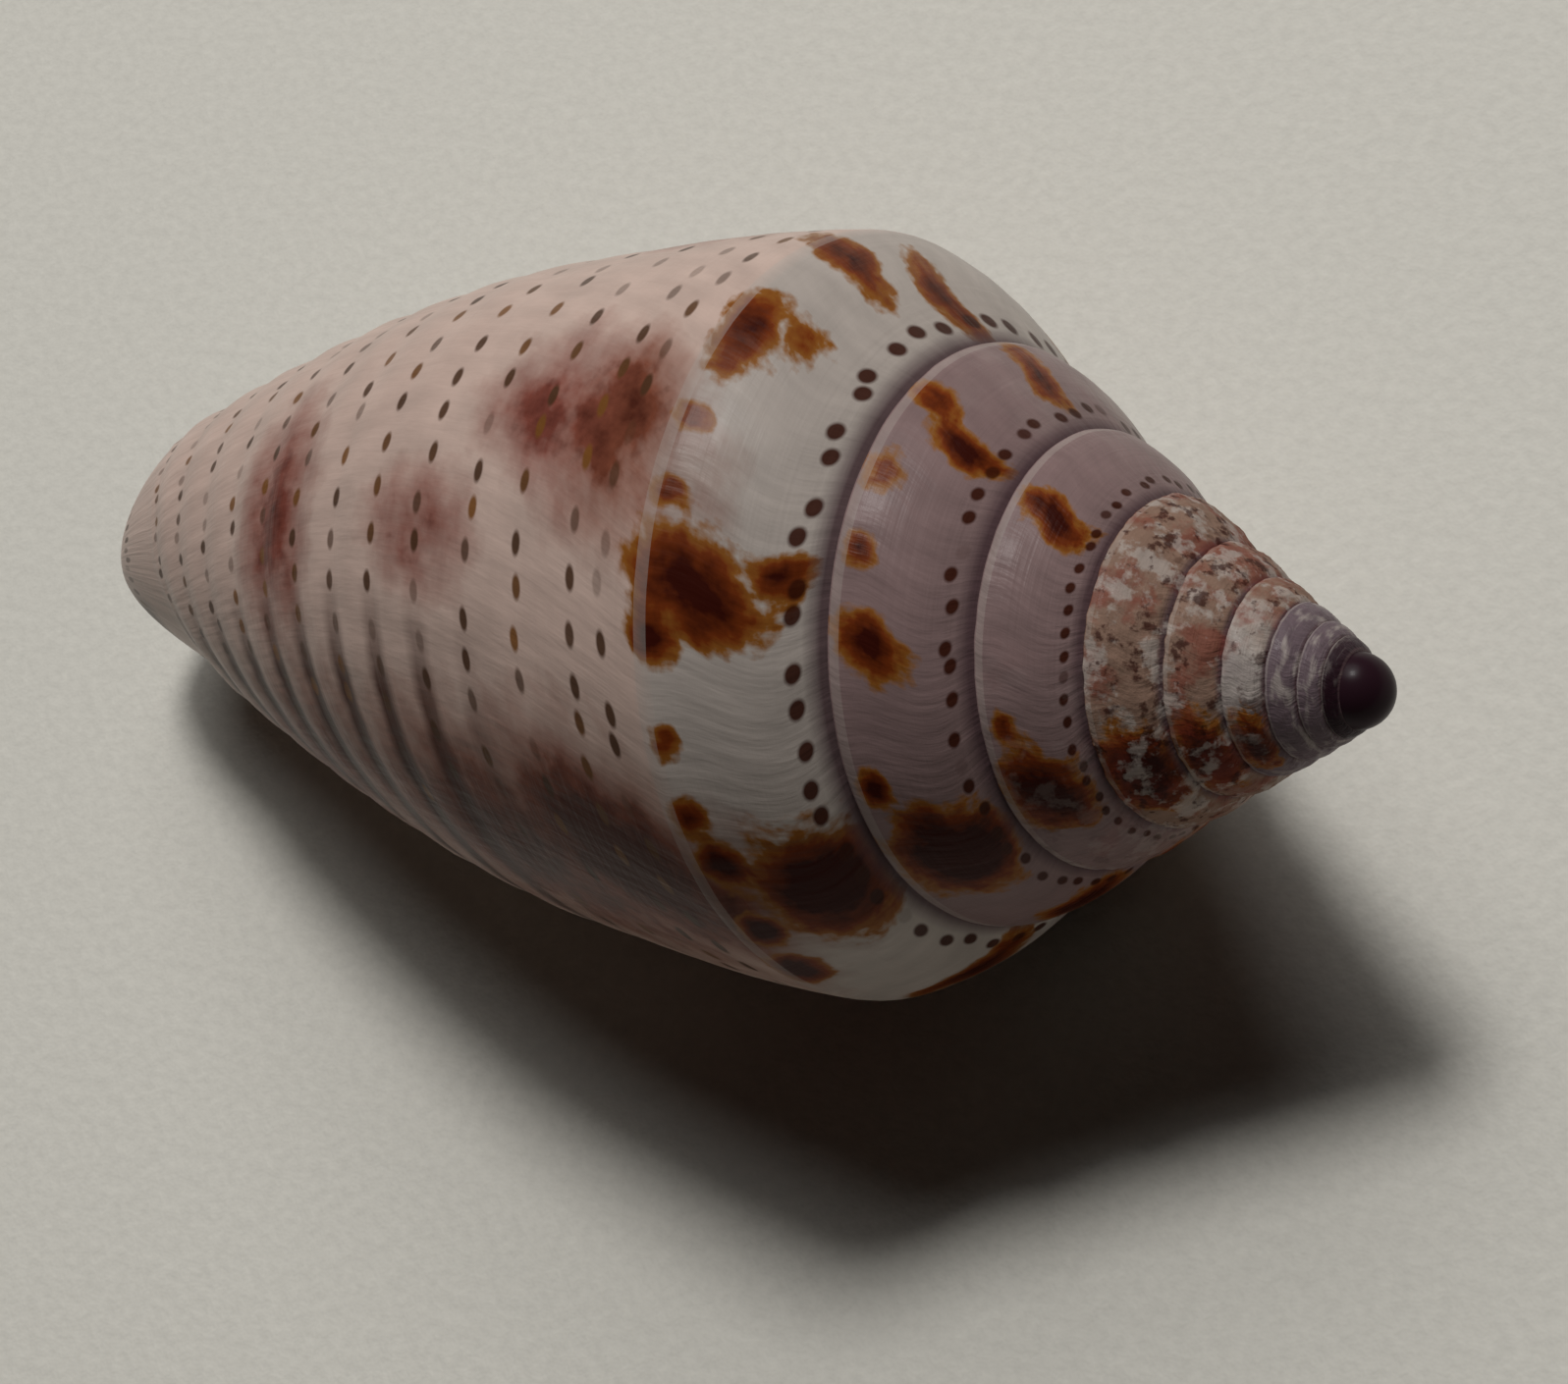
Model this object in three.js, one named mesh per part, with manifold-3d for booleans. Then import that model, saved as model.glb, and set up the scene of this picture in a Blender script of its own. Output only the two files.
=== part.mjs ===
// A small high-spired cone shell, lying on its aperture as it rests on a table.
// Millimetres, +Z up. A shell is one coiled wall, so it is one mesh.
//
// It is worked out in its own growth frame first. There the coil's axis is Z, with the
// spire's tip towards +Z, and the origin is the point that every whorl shrinks towards,
// just past the tip. A section is an outline of points (radius from the axis, depth below
// the origin). Turns are counted from the outer lip, which is turn 0, and are negative
// back along the coil.
import * as THREE from "three";
import { ConvexHull } from "three/addons/math/ConvexHull.js";
import { mergeVertices } from "three/addons/utils/BufferGeometryUtils.js";
import Module from "manifold-3d";

// Driving dimensions, at the outer lip.
const GROWTH = 1.352; // each turn is this many times the size of the turn before it
const WHORLS = 9; // from the nucleus to the lip
const SHOULDER_RADIUS = 5.0; // from the axis to the keel at the shoulder
const SHOULDER_DEPTH = 7.6; // from the growth origin to the keel, along the axis
const FRONT_RADIUS = 1.96; // where the side turns in at the blunt front end
const FRONT_DEPTH = 19.75;
const TIP_DEPTH = 20.05; // the front end of the columella, on the axis
const NUCLEUS_RADIUS = 0.36; // the round first whorl at the top of the spire
const NUCLEUS_DEPTH = 0.49;
const WALL = 0.42; // thickness of the outer wall
const CALLUS = 0.12; // glaze over the whorl before, inside the aperture
const HOLLOW_TURNS = 0.8; // how far the hollow runs back from the lip
const CANAL_TURNS = 0.14; // how far back the hollow is open at the front end
const LIP_SWEEP = 0.06; // how far growth lines fall back at the front, in turns
const WIDEST = 0.68; // where growth lines lead, as a share of the way to the front

// A ramp starts this far past the keel of the whorl before and this far inside its wall,
// so that two whorls meet in a clean line.
const SUTURE_DROP = 0.15;
const SUTURE_SINK = 0.13;

// Fineness of the facets.
const STEPS_PER_TURN = 30;
const RAMP_STEPS = 5;
const SIDE_STEPS = 9;
const FRONT_STEPS = 5;
const HOLLOW_STEPS = 12;

const wasm = await Module();
wasm.setup();

const scaleAt = (turn) => GROWTH ** turn;

// Section of a whorl from its suture to the axis: swollen ramp, keel, long gently curved
// side and blunt front end. The columella's end stays put through the last turn, so that
// the front closes on it, and shrinks with the rest in the whorls before.
function whorlOutline(turn) {
  const size = scaleAt(turn);
  const at = (radius, depth) => new THREE.Vector2(radius, depth).multiplyScalar(size);
  const sutureRadius = (SHOULDER_RADIUS - SUTURE_SINK) / GROWTH;
  const sutureDepth = (SHOULDER_DEPTH + SUTURE_DROP) / GROWTH;
  const keel = at(SHOULDER_RADIUS, SHOULDER_DEPTH);
  const front = at(FRONT_RADIUS, FRONT_DEPTH);
  const tip = new THREE.Vector2(0, TIP_DEPTH * Math.min(1, scaleAt(turn + 1)));
  const ramp = new THREE.CubicBezierCurve(
    at(sutureRadius, sutureDepth),
    at(sutureRadius + 0.75, sutureDepth + 1.0),
    at(SHOULDER_RADIUS + 0.03, SHOULDER_DEPTH - 0.45),
    keel,
  );
  const side = new THREE.CubicBezierCurve(
    keel,
    at(SHOULDER_RADIUS - 0.25, SHOULDER_DEPTH + 6),
    at(FRONT_RADIUS + 0.49, FRONT_DEPTH - 0.88),
    front,
  );
  const end = new THREE.CubicBezierCurve(
    front,
    at(FRONT_RADIUS - 0.3, FRONT_DEPTH + 0.55),
    tip.clone().add(at(0.9, 0)),
    tip,
  );
  return [
    ...ramp.getPoints(RAMP_STEPS).slice(0, -1),
    ...side.getPoints(SIDE_STEPS).slice(0, -1),
    ...end.getPoints(FRONT_STEPS),
  ];
}

// A point of a section, turned round the axis to its turn. The shell coils to the right.
const place = (point, turn) =>
  new THREE.Vector3(point.x, 0, -point.y).applyAxisAngle(
    new THREE.Vector3(0, 0, 1),
    -2 * Math.PI * turn,
  );

// The same, with the point moved back along the coil to its growth line, which leads at
// the widest part of the lip and falls back at the suture and at the front.
function placeOnGrowthLine(point, turn) {
  const along = point.y / (scaleAt(turn) * FRONT_DEPTH);
  const bend = Math.min(1, Math.abs(along - WIDEST) / (1 - WIDEST));
  const lag = LIP_SWEEP * bend * bend;
  return place(point.clone().multiplyScalar(scaleAt(-lag)), turn - lag);
}

// Radius of an outline at a depth, by straight lines between its points.
function radiusAt(outline, depth) {
  const next = outline.findIndex((point) => point.y >= depth);
  if (next < 1) return outline.at(next).x;
  const above = outline[next - 1];
  const below = outline[next];
  return THREE.MathUtils.mapLinear(depth, above.y, below.y, above.x, below.x);
}

// A geometry as a solid that can be joined and cut, and a solid as a geometry.
function solidOf(geometry) {
  const bare = geometry.clone();
  for (const name of Object.keys(bare.attributes))
    if (name !== "position") bare.deleteAttribute(name);
  const merged = mergeVertices(bare, 1e-5);
  const triVerts = new Uint32Array(merged.index.array);
  const vertProperties = merged.attributes.position.array;
  return new wasm.Manifold(new wasm.Mesh({ numProp: 3, vertProperties, triVerts }));
}

function geometryOf(solid) {
  const { vertProperties, triVerts } = solid.getMesh();
  return new THREE.BufferGeometry()
    .setAttribute("position", new THREE.BufferAttribute(vertProperties, 3))
    .setIndex(new THREE.BufferAttribute(triVerts, 1));
}

// A closed solid through a row of sections in space. Each end is closed by the triangles
// of its own flat outline.
function loft(sections, firstOutline, lastOutline) {
  const count = firstOutline.length;
  const index = [];
  for (let s = 0; s + 1 < sections.length; s++)
    for (let p = 0; p < count; p++) {
      const a = s * count + p;
      const b = s * count + ((p + 1) % count);
      index.push(a, a + count, b, b, a + count, b + count);
    }
  for (const [a, b, c] of THREE.ShapeUtils.triangulateShape(firstOutline, []))
    index.push(a, b, c);
  const last = (sections.length - 1) * count;
  for (const [a, b, c] of THREE.ShapeUtils.triangulateShape(lastOutline, []))
    index.push(last + a, last + c, last + b);
  const geometry = new THREE.BufferGeometry().setFromPoints(sections.flat());
  return solidOf(geometry.setIndex(index));
}

// One stretch of the coil, filled in to the axis.
function whorl(from, to) {
  const filled = (turn) => {
    const outline = whorlOutline(turn);
    return [new THREE.Vector2(0, outline[0].y), ...outline];
  };
  const steps = Math.round((to - from) * STEPS_PER_TURN);
  const sections = Array.from({ length: steps + 1 }, (_, s) => {
    const turn = THREE.MathUtils.lerp(from, to, s / steps);
    return filled(turn).map((point) => placeOnGrowthLine(point, turn));
  });
  return loft(sections, filled(from), filled(to));
}

// Section of the hollow: down the inside of the wall, and back up over the whorl before.
// It dwindles at its inner end. Close to the lip its front is open, which makes the canal.
function hollowOutline(turn) {
  const size = scaleAt(turn);
  const outer = whorlOutline(Math.min(0, turn));
  const inner = whorlOutline(turn - 1);
  const openness = THREE.MathUtils.smoothstep(turn, -CANAL_TURNS, 0);
  const top = (size * (SHOULDER_DEPTH + 0.93)) / GROWTH;
  const bottom = size * FRONT_DEPTH * THREE.MathUtils.lerp(0.93, 1.06, openness);
  const dwindle = Math.sqrt(Math.min(1, (turn + HOLLOW_TURNS) / HOLLOW_TURNS + 0.01));
  const wallSide = [];
  const innerSide = [];
  for (let s = 0; s <= HOLLOW_STEPS; s++) {
    const depth = THREE.MathUtils.lerp(top, bottom, s / HOLLOW_STEPS);
    const far = radiusAt(outer, Math.min(depth, size * FRONT_DEPTH)) - WALL * size;
    const near = Math.max(radiusAt(inner, depth), NUCLEUS_RADIUS) + CALLUS * size;
    const middle = (far + near) / 2;
    const half = Math.max(0.04 * size, (far - near) / 2) * dwindle;
    wallSide.push(new THREE.Vector2(middle + half, depth));
    innerSide.unshift(new THREE.Vector2(middle - half, depth));
  }
  return [...wallSide, ...innerSide];
}

function hollow() {
  const pastTheLip = 0.05;
  const steps = Math.round(HOLLOW_TURNS * STEPS_PER_TURN);
  const turns = Array.from({ length: steps }, (_, s) => -HOLLOW_TURNS * (1 - s / steps));
  turns.push(0, pastTheLip);
  const sections = turns.map((turn) => hollowOutline(turn).map((point) => place(point, turn)));
  return loft(sections, hollowOutline(-HOLLOW_TURNS), hollowOutline(pastTheLip));
}

function nucleus() {
  const ball = new THREE.SphereGeometry(NUCLEUS_RADIUS, 14, 9);
  ball.rotateX(Math.PI / 2).translate(0, 0, -NUCLEUS_DEPTH);
  return solidOf(ball);
}

// The whole shell. Slivers with no volume can stay along the axis where half turns are
// joined, so only the largest body is kept.
function coil() {
  let joined = nucleus();
  for (let half = 1; half <= 2 * WHORLS; half++)
    joined = joined.add(whorl(-half / 2, (1 - half) / 2));
  const bodies = joined.subtract(hollow()).decompose();
  return bodies.sort((a, b) => b.volume() - a.volume())[0];
}

function centreOfMass(solid) {
  const { vertProperties, triVerts } = solid.getMesh();
  const corner = (i) => new THREE.Vector3().fromArray(vertProperties, 3 * triVerts[i]);
  const centre = new THREE.Vector3();
  let volume = 0;
  for (let i = 0; i < triVerts.length; i += 3) {
    const [a, b, c] = [corner(i), corner(i + 1), corner(i + 2)];
    const part = a.dot(b.clone().cross(c)) / 6;
    volume += part;
    centre.addScaledVector(a.add(b).add(c), part / 4);
  }
  return centre.divideScalar(volume);
}

// Which way is down at rest. Of the flats of its convex hull that its centre of mass
// stands over, the shell lies on the one that brings that centre lowest.
function restingDirection(solid) {
  const position = geometryOf(solid).getAttribute("position");
  const points = Array.from({ length: position.count }, (_, i) =>
    new THREE.Vector3().fromBufferAttribute(position, i),
  );
  const centre = centreOfMass(solid);
  const height = (face) => face.constant - centre.dot(face.normal);
  const flats = new ConvexHull().setFromPoints(points).faces.filter((face) => {
    const foot = face.normal.clone().multiplyScalar(height(face)).add(centre);
    const edges = [face.edge, face.edge.next, face.edge.prev];
    return new THREE.Triangle(...edges.map((edge) => edge.head().point)).containsPoint(foot);
  });
  return flats.sort((a, b) => height(a) - height(b))[0].normal;
}

// The shell laid down: the spire's tip towards +X, and the middle of its box over the
// origin, which is on the table.
function layDown(solid) {
  const up = restingDirection(solid).clone().negate();
  const forward = new THREE.Vector3(0, 0, 1).projectOnPlane(up).normalize();
  const sideways = up.clone().cross(forward);
  const turned = new THREE.Matrix4().makeBasis(forward, sideways, up).transpose();
  const geometry = geometryOf(solid).applyMatrix4(turned);
  geometry.computeBoundingBox();
  const { min, max } = geometry.boundingBox;
  geometry.translate(-(min.x + max.x) / 2, -(min.y + max.y) / 2, -min.z);
  geometry.computeVertexNormals();
  return geometry;
}

const shell = new THREE.Mesh(
  layDown(coil()),
  new THREE.MeshStandardMaterial({ color: "#bfada4", roughness: 0.4, metalness: 0 }),
);
shell.name = "shell";

const coneShell = new THREE.Group();
coneShell.add(shell);
export default coneShell;
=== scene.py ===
"""The looks of a small high-spired cone shell that lies on its aperture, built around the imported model.

The shell is wound in a growth frame of its own, in millimetres: the coil's axis is Z, the spire's
tip points to +Z, and the origin is the point that every whorl shrinks towards. Turns are counted
from the outer lip, which is turn 0, and are negative back along the coil. Along the outline, places
are counted in millimetres from the suture, on an outline of the lip's size. Both are kept in the UV
map named growth, so that the markings follow the coil as they do on a real shell.
"""
import math

import bmesh
import bpy
from bpy.props import FloatProperty, FloatVectorProperty, IntProperty, PointerProperty
from mathutils import Matrix, Vector, noise
from mathutils.geometry import interpolate_bezier


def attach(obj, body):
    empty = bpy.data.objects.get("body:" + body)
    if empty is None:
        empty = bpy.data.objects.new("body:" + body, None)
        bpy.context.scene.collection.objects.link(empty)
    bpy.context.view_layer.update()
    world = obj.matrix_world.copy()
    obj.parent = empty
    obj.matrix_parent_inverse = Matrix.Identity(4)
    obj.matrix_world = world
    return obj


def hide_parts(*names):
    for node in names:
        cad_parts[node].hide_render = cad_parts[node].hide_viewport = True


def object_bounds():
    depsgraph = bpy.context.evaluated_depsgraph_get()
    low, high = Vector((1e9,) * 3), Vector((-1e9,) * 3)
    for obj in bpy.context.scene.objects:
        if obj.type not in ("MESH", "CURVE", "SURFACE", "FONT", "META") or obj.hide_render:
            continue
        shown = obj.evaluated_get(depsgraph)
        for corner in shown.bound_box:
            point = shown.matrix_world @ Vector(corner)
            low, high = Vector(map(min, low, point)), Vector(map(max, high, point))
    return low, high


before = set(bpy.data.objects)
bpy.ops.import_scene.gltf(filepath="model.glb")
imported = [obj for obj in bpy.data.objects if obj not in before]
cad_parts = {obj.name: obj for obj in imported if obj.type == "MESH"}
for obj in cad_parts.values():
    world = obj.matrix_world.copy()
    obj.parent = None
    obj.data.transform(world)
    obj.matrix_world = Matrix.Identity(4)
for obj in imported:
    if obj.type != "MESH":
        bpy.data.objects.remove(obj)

bl_info = {
    "name": "Cone Shell",
    "version": (1, 0, 0),
    "blender": (4, 5, 0),
    "location": "View3D > Sidebar > Cone Shell",
    "description": "Models a small cone shell with its markings, on a plain studio floor",
    "category": "Add Mesh",
}

MM = 0.001
CAD_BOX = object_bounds()
PIECE = "shell_detailed"
GROWTH_MAP = "growth"
INSIDE = 1  # the material slot of the lining; the glaze of the outside is in slot 0

# The kinds of node that are used most.
MATH = "ShaderNodeMath"
MIX = "ShaderNodeMix"
RANGE = "ShaderNodeMapRange"
VECTOR = "ShaderNodeVectorMath"
NOISE = "ShaderNodeTexNoise"
JOIN = "ShaderNodeCombineXYZ"
SPLIT = "ShaderNodeSeparateXYZ"

# The keel lies this far along the lip's outline, and the ramp is all that comes before it.
KEEL_ALONG = 2.4

# Orange-brown stains: turn, place along the outline, half length in turns, half width in millimetres,
# and strength. Where the stains show, their places were measured. The rest was judged. They
# are on the last ramp first, and then on each older whorl.
STAINS = (
    (-0.362, 1.75, 0.026, 1.0, 1.0),
    (-0.388, 2.22, 0.012, 0.42, 1.0),
    (-0.345, 0.75, 0.014, 0.55, 0.9),
    (-0.25, 2.1, 0.024, 0.5, 0.9),
    (-0.234, 1.5, 0.013, 0.55, 0.55),
    (-0.181, 1.9, 0.013, 1.0, 0.85),
    (-0.144, 0.9, 0.013, 1.0, 0.8),
    (-0.505, 0.9, 0.04, 0.95, 1.5),
    (-0.486, 2.02, 0.014, 0.36, 1.3),
    (-0.462, 2.18, 0.01, 0.28, 0.9),
    (-0.527, 2.05, 0.012, 0.3, 1.2),
    (-0.56, 2.15, 0.014, 0.4, 1.2),
    (-0.43, 2.22, 0.009, 0.22, 0.4),
    (-0.328, 2.2, 0.007, 0.3, 0.8),
    (-0.297, 2.2, 0.007, 0.32, 0.7),
    (-0.65, 1.3, 0.022, 1.1, 1.0),
    (-0.775, 1.9, 0.02, 0.8, 0.9),
    (-0.9, 1.2, 0.026, 1.1, 1.2),
    (-0.03, 1.5, 0.022, 1.1, 1.0),
    (-1.228, 2.0, 0.013, 0.55, 0.8),
    (-1.241, 1.1, 0.015, 0.8, 1.1),
    (-1.284, 2.15, 0.015, 0.45, 0.4),
    (-1.33, 2.12, 0.012, 0.34, 0.8),
    (-1.381, 1.8, 0.02, 0.7, 1.1),
    (-1.464, 2.1, 0.013, 0.34, 1.1),
    (-1.515, 1.25, 0.045, 1.2, 1.6),
    (-1.145, 1.4, 0.015, 0.9, 0.8),
    (-1.65, 1.2, 0.03, 1.0, 1.1),
    (-1.8, 1.8, 0.03, 0.8, 0.8),
    (-1.95, 1.2, 0.03, 1.0, 1.0),
    (-2.258, 1.35, 0.02, 1.0, 1.1),
    (-2.435, 2.0, 0.016, 0.36, 0.8),
    (-2.49, 1.45, 0.045, 1.1, 1.3),
    (-2.7, 1.3, 0.04, 1.0, 0.8),
    (-2.92, 1.3, 0.04, 1.0, 0.8),
    (-3.5, 1.3, 0.07, 1.4, 1.3),
    (-4.5, 1.3, 0.08, 1.4, 1.1),
    (-5.5, 1.3, 0.08, 1.4, 1.0),
)

# Soft reddish clouds on the side of the last whorl, given in the same way.
CLOUDS = (
    (-0.325, 3.6, 0.042, 1.8, 0.75),
    (-0.332, 4.7, 0.026, 1.2, 0.8),
    (-0.306, 3.2, 0.032, 1.0, 1.0),
    (-0.39, 10.4, 0.075, 1.0, 0.8),
    (-0.397, 6.7, 0.028, 1.1, 0.45),
    (-0.51, 3.6, 0.055, 2.3, 1.7),
    (-0.545, 6.0, 0.065, 3.6, 1.1),
    (-0.54, 10.5, 0.06, 3.5, 0.7),
    (-0.68, 5.0, 0.05, 2.4, 1.1),
    (-0.77, 9.0, 0.05, 2.6, 0.9),
    (-0.9, 4.4, 0.06, 2.2, 1.2),
    (-0.08, 8.5, 0.05, 2.4, 0.8),
    (-0.02, 4.0, 0.05, 2.0, 1.1),
    (-0.17, 5.4, 0.035, 1.6, 0.5),
)


def linear(hex_colour):
    """An sRGB hex colour as linear red, green and blue."""
    shares = [int(hex_colour[i : i + 2], 16) / 255 for i in (1, 3, 5)]
    return [s / 12.92 if s <= 0.04045 else ((s + 0.055) / 1.055) ** 2.4 for s in shares]


def length(name, description, default):
    """A size property, given here in millimetres and kept in metres."""
    return FloatProperty(
        name=name, description=description, default=default * MM,
        min=0.0, precision=5, subtype="DISTANCE", unit="LENGTH",
    )


def angle(name, description, degrees):
    """An angle property, given here in degrees and kept in radians."""
    return FloatProperty(
        name=name, description=description, default=math.radians(degrees),
        subtype="ANGLE", unit="ROTATION",
    )


def number(name, description, default):
    """A property that is a plain number."""
    return FloatProperty(name=name, description=description, default=default)


def colour(name, description, default):
    """A colour property, given here as sRGB hex and kept linear."""
    return FloatVectorProperty(
        name=name, description=description, default=linear(default),
        min=0.0, max=1.0, size=3, subtype="COLOR",
    )


class ShellSizes(bpy.types.PropertyGroup):
    """Sizes of the shell, at the outer lip."""

    growth: number("Growth", "How many times larger each turn is than the one before", 1.352)
    whorls: IntProperty(name="Whorls", description="Turns from the tip to the lip", default=9, min=3)
    steps: IntProperty(name="Steps per turn", description="Rows of faces in each turn", default=160)
    shoulder_radius: length("Shoulder radius", "From the axis to the keel", 5.0)
    shoulder_depth: length("Shoulder depth", "From the growth origin down to the keel", 7.6)
    front_radius: length("Front radius", "Where the side turns in at the front end", 1.96)
    front_depth: length("Front depth", "How deep that is", 19.75)
    tip_depth: length("Columella end", "The front end of the columella", 20.05)
    groove_drop: length("Suture drop", "How far past the keel the suture lies", 0.22)
    groove_sink: length("Suture sink", "How far inside the keel the suture lies", 0.2)
    nucleus_radius: length("Nucleus radius", "The round first whorl", 0.42)
    nucleus_depth: length("Nucleus depth", "How deep its middle is", 0.5)
    early_swell: number("Early swell", "How much wider the earliest whorls are than the coil's law", 1.0)
    swell_reach: length("Swell reach", "How far down the spire that dies away", 0.6)
    wall: length("Wall", "Thickness of the outer wall", 0.42)
    callus: length("Callus", "Glaze over the whorl before, inside the aperture", 0.12)
    core: length("Core", "Radius of the columella where nothing wider is wound", 0.27)
    hollow_turns: number("Hollow", "How far the hollow runs back, in turns", 0.8)
    canal_turns: number("Canal", "How far back the front is open, in turns", 0.14)
    lip_sweep: number("Lip sweep", "How far growth lines fall back, in turns", 0.06)
    widest: number("Leading place", "Where growth lines lead, as a share of the depth", 0.68)
    resting_tilt: angle("Resting tilt", "How far the tip is raised", 9.0)
    resting_turn: number("Resting side", "The turn that faces down", 0.1335)
    first_row: length("First row", "Where the first full row of dashes lies along the outline", 3.62)
    row_spacing: length("Row spacing", "From one row of dashes to the next", 1.02)
    cord_height: length("Cord height", "How far a cord stands up between two rows at the front", 0.05)
    wrinkle_height: length("Wrinkle height", "How rough the growth lines are", 0.012)
    wear_depth: length("Wear depth", "How uneven the worn old whorls are", 0.07)


class ShellColours(bpy.types.PropertyGroup):
    """Colours of the shell and the floor."""

    ramp: colour("Ramp", "Pale ground of the last ramp, and of what is white on the spire", "#b3a8a1")
    side: colour("Side", "Pinkish cream ground of the last whorl's side", "#c6ada2")
    violet: colour("Violet", "Ground of the whorls before the last", "#87706f")
    chalk: colour("Chalk", "Worn surface of the old whorls", "#8b6f60")
    slate: colour("Slate", "The small early whorls", "#6d5d63")
    nucleus: colour("Nucleus", "The glassy first whorl", "#2b1820")
    ochre: colour("Ochre", "Thin edge of a stain", "#8f5c26")
    orange: colour("Orange", "Body of a stain", "#763413")
    brown: colour("Brown", "Dark middle of a stain", "#37100a")
    wine: colour("Wine", "Middle of a cloud", "#7c3527")
    dot: colour("Dot", "Dots below the sutures", "#3f1a0d")
    # The suture colour is painted shade in the grooves between whorls, in a mauve tint.
    dash: colour("Dash", "Dashes of the spiral rows", "#4d3322")
    suture: colour("Suture", "The groove between whorls", "#5d474b")
    inside: colour("Inside", "Porcelain inside the aperture", "#d9cbcd")
    floor: colour("Floor", "The pale card under the shell", "#d8d5cd")


class StageSizes(bpy.types.PropertyGroup):
    """Places of the camera and the lights."""

    azimuth: angle("Azimuth", "Where the camera stands round the shell", 60.5)
    elevation: angle("Elevation", "How steeply the camera looks down", 53.9)
    roll: angle("Roll", "How far the camera is turned round its own axis", -44.5)
    focal_length: number("Focal length", "Of the lens, in millimetres, on a frame 36 mm wide", 90.2)
    distance: length("Distance", "From the camera to the point that it looks at", 40.8)
    aim: FloatVectorProperty(
        name="Aim", description="From the middle of the shell to the point that the camera looks at",
        default=(4.4 * MM, -2.51 * MM, 3.53 * MM), size=3, precision=5,
        subtype="TRANSLATION", unit="LENGTH",
    )
    floor_size: length("Floor", "Half the side of the floor", 300)
    lamp_distance: length("Lamp distance", "From the shell to the lamps", 260)
    key_size: length("Key size", "Across the lamp that draws the shadow's edge", 60)
    key_level: number("Key level", "Light from that lamp, in watts per square metre", 1.6)
    soft_size: length("Soft size", "Across the broad lamp behind the shell", 210)
    soft_level: number("Soft level", "Light from that lamp, in watts per square metre", 1.2)
    room_level: number("Room level", "Light that comes from all round", 0.005)


def millimetres(sizes, *names):
    """Some of the sizes, in millimetres."""
    return [getattr(sizes, name) / MM for name in names]


def bezier(start, handle_1, handle_2, end, steps):
    """Points of a curved stretch of an outline, without the last one."""
    points = [Vector(point).to_3d() for point in (start, handle_1, handle_2, end)]
    return [point.to_2d() for point in interpolate_bezier(*points, steps + 1)][:-1]


def lip_outline(sizes):
    """The lip's outline from the suture to the columella's end, as named stretches of (radius, depth)."""
    radius, depth, front_radius, front_depth, tip = millimetres(
        sizes, "shoulder_radius", "shoulder_depth", "front_radius", "front_depth", "tip_depth"
    )
    drop, sink = millimetres(sizes, "groove_drop", "groove_sink")
    suture = Vector((radius - sink, depth + drop)) / sizes.growth
    keel_top = (radius - 0.1, depth - 0.2)
    keel_foot = (radius, depth + 0.16)
    middle = (radius - 0.45, depth + 4.4)
    turn_in = (front_radius + 0.49, front_depth - 0.88)
    front = (front_radius, front_depth)
    ramp_bow = (radius - 0.42, depth - 0.95)
    return {
        "ramp": bezier(suture, suture + Vector((0.35, 0.15)), ramp_bow, keel_top, 26),
        "keel": bezier(keel_top, (radius - 0.03, depth - 0.07), (radius, depth), keel_foot, 6),
        "side": bezier(keel_foot, (radius, depth + 1.6), (radius - 0.25, depth + 3), middle, 24)
        + bezier(middle, (radius - 0.8, depth + 6.9), turn_in, front, 84),
        "end": bezier(front, (front_radius - 0.3, front_depth + 0.55), (0.9, tip), (0, tip), 14)
        + [Vector((0, tip))],
    }


def start_coil(bm):
    """The layers that each vertex of a coil keeps: its turn, its place along the outline, how far its
    growth line falls back, and how much of the columella's stretch it takes."""
    return {name: bm.verts.layers.float.new(name) for name in ("turn", "along", "fall", "pull")}


def add_outline(bm, points, closed=False):
    """A row of vertices at turn 0, joined by edges."""
    verts = [bm.verts.new((radius, 0, -depth)) for radius, depth in points]
    edges = [bm.edges.new(pair) for pair in zip(verts, verts[1:])]
    if closed:
        edges.append(bm.edges.new((verts[-1], verts[0])))
    return verts, edges


def coil_step(sizes, steps):
    """The turn and growth from one row of a coil to the row that is so many steps further back."""
    turned = Matrix.Rotation(math.tau * steps / sizes.steps, 3, "Z")
    return (turned * sizes.growth ** (-steps / sizes.steps)).to_4x4()


def wind(bm, layers, edges, steps, sizes):
    """Extrudes a row of edges back along the coil, and returns the edges of the last row."""
    back = coil_step(sizes, 1)
    for _ in range(steps):
        made = bmesh.ops.extrude_edge_only(bm, edges=edges)["geom"]
        verts = [item for item in made if isinstance(item, bmesh.types.BMVert)]
        new = set(verts)
        edges = [g for g in made if isinstance(g, bmesh.types.BMEdge) and new.issuperset(g.verts)]
        bmesh.ops.transform(bm, matrix=back, verts=verts)
        for vert in verts:
            vert[layers["turn"]] -= 1 / sizes.steps
    return edges


def fall_back(sizes, depth, ramp_share):
    """How far a growth line falls back at a depth of the lip's outline, in turns. It leads at the widest
    place, and on the ramp it has a shallow bay."""
    place = max(depth * MM, sizes.shoulder_depth) / sizes.front_depth
    bend = min(1.0, abs(place - sizes.widest) / (1 - sizes.widest))
    bay = 0.012 * math.sin(math.pi * ramp_share) ** 2
    return sizes.lip_sweep * bend * bend + bay


def mark_outline(sizes, layers, stretches, verts):
    """Writes each vertex's place along the outline, its growth line's fall and its share of the stretch."""
    ramp_count = len(stretches["ramp"])
    end_start = len(verts) - len(stretches["end"])
    travelled = 0.0
    for i, vert in enumerate(verts):
        if i:
            travelled += (vert.co - verts[i - 1].co).length
        vert[layers["along"]] = travelled
        vert[layers["fall"]] = fall_back(sizes, -vert.co.z, min(1.0, i / ramp_count))
        share = max(0, i - end_start) / (len(stretches["end"]) - 1)
        vert[layers["pull"]] = 3 * share**2 * (1 - share) + share**3


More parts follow.
